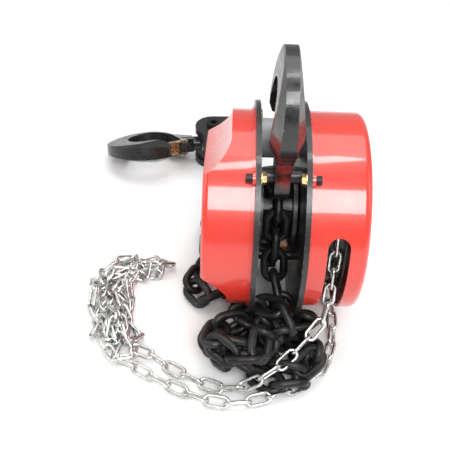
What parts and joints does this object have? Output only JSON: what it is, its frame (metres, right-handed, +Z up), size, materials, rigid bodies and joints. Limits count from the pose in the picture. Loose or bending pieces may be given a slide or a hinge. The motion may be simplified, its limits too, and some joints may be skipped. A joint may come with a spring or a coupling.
{
  "type": "chain hoist",
  "caption": "Hand chain hoist: geared load sheave between two side plates, round covers, top and bottom hooks with latches, load chain and hand chain laid beside it.",
  "frame": {"origin": "centre of the top hook's bowl", "axes": "+X along the drive shaft from the gear cover to the hand wheel cover, +Z up from the feet to the top hook"},
  "size_m": [0.2128, 0.3333, 0.2291],
  "materials": {
    "cover_red": "gloss red enamel",
    "plate_black": "satin black enamel, chipped at the edges",
    "hook_black": "forged, black enamel over a hammered surface",
    "screw_black": "black oxide",
    "nut_brass": "yellow passivated, slightly dull",
    "latch_gold": "pressed sheet, gold passivated",
    "machined_steel": "turned, oiled",
    "dark_steel": "dark phosphated, oiled",
    "spacer_grey": "pale grey, satin",
    "friction_lining": "woven lining",
    "load_chain_steel": "dark heat treated, lightly oiled",
    "hand_chain_zinc": "bright zinc plate"
  },
  "bodies": {
    "frame": {"bearing_rings": "machined_steel", "block_bolt": "screw_black", "block_chain_pin": "machined_steel", "block_lower_half": "plate_black", "block_upper_half": "plate_black", "chain_anchor": "plate_black", "chain_stripper": "plate_black", "cover_nuts": "nut_brass", "cover_screws": "screw_black", "gear_bracket": "machined_steel", "gear_cover": "cover_red", "gear_posts": "machined_steel", "gear_side_plate": "plate_black", "hand_chain_back_run": "hand_chain_zinc", "hand_chain_flat_links": "hand_chain_zinc", "hand_chain_front_run": "hand_chain_zinc", "hand_chain_hank": "hand_chain_zinc", "hand_chain_standing_links": "hand_chain_zinc", "lay_gear_bushes": "nut_brass", "load_chain_back_pile": "load_chain_steel", "load_chain_back_run": "load_chain_steel", "load_chain_flat_links": "load_chain_steel", "load_chain_front_pile": "load_chain_steel", "load_chain_front_run": "load_chain_steel", "load_chain_standing_links": "load_chain_steel", "load_chain_tail_run": "load_chain_steel", "pawl_pins": "machined_steel", "pawl_springs": "machined_steel", "ratchet_disc": "machined_steel", "sheave_bearings": "machined_steel", "stay_nuts": "nut_brass", "stay_rods": "dark_steel", "top_hook_pin": "dark_steel", "upper_spacer": "spacer_grey", "wheel_cover": "cover_red", "wheel_side_plate": "plate_black"},
    "top_hook": {"top_hook": "hook_black", "top_latch_pin": "machined_steel", "top_latch_spring": "machined_steel"},
    "top_latch": {"top_hook_latch": "latch_gold"},
    "load_sheave": {"load_sheave": "dark_steel", "load_gear": "machined_steel"},
    "drive": {"drive_shaft": "machined_steel", "brake_hub": "machined_steel", "inner_friction_disc": "friction_lining", "outer_friction_disc": "friction_lining", "hand_wheel": "dark_steel", "shaft_washer": "machined_steel", "shaft_nut": "machined_steel"},
    "lay_gear_a": {"lay_gear_a": "machined_steel"},
    "lay_gear_b": {"lay_gear_b": "machined_steel"},
    "pawl_a": {"pawl_a": "machined_steel"},
    "pawl_b": {"pawl_b": "machined_steel"},
    "bottom_hook": {"bottom_hook": "hook_black", "shank_collar": "machined_steel", "bottom_latch_pin": "machined_steel", "bottom_latch_spring": "machined_steel"},
    "bottom_latch": {"bottom_hook_latch": "latch_gold"}
  },
  "joints": [
    {"name": "top_hook_swing", "type": "hinge", "parent": "frame", "child": "top_hook", "pos_m": [0, 0, -0.053], "axis": [1, 0, 0], "range_deg": [-25, 75]},
    {"name": "top_latch_swing", "type": "hinge", "parent": "top_hook", "child": "top_latch", "pos_m": [0, 0.014, -0.033], "axis": [1, 0, 0], "range_deg": [0, 28], "stiffness_Nm_per_rad": 0.05, "springref_deg": -28.65},
    {"name": "sheave_spin", "type": "hinge", "parent": "frame", "child": "load_sheave", "pos_m": [0, 0.0235, -0.098], "axis": [1, 0, 0], "continuous": true},
    {"name": "drive_spin", "type": "hinge", "parent": "frame", "child": "drive", "pos_m": [0, 0.0235, -0.098], "axis": [1, 0, 0], "continuous": true},
    {"name": "lay_gear_a_spin", "type": "hinge", "parent": "frame", "child": "lay_gear_a", "pos_m": [-0.03, 0.05211, -0.10702], "axis": [1, 0, 0], "continuous": true},
    {"name": "lay_gear_b_spin", "type": "hinge", "parent": "frame", "child": "lay_gear_b", "pos_m": [-0.03, -0.00511, -0.08898], "axis": [1, 0, 0], "continuous": true},
    {"name": "pawl_a_swing", "type": "hinge", "parent": "frame", "child": "pawl_a", "pos_m": [0.0315, 0.05567, -0.071], "axis": [1, 0, 0], "range_deg": [-12, 0], "stiffness_Nm_per_rad": 0.02, "springref_deg": 17.19},
    {"name": "pawl_b_swing", "type": "hinge", "parent": "frame", "child": "pawl_b", "pos_m": [0.0315, -0.00867, -0.125], "axis": [1, 0, 0], "range_deg": [-12, 0], "stiffness_Nm_per_rad": 0.02, "springref_deg": 17.19},
    {"name": "bottom_hook_swivel", "type": "hinge", "parent": "frame", "child": "bottom_hook", "pos_m": [-0.11393, 0.20534, -0.171], "axis": [-0.9833, -0.1822, 0], "continuous": true},
    {"name": "bottom_latch_swing", "type": "hinge", "parent": "bottom_hook", "child": "bottom_latch", "pos_m": [-0.07912, 0.19859, -0.16576], "axis": [0.0683, -0.3683, -0.9272], "range_deg": [0, 28], "stiffness_Nm_per_rad": 0.05, "springref_deg": -28.65}
  ],
  "couplings": [
    {"joint": "drive_spin", "follows": "sheave_spin", "ratio": 12},
    {"joint": "lay_gear_a_spin", "follows": "sheave_spin", "ratio": -4},
    {"joint": "lay_gear_b_spin", "follows": "sheave_spin", "ratio": -4}
  ]
}
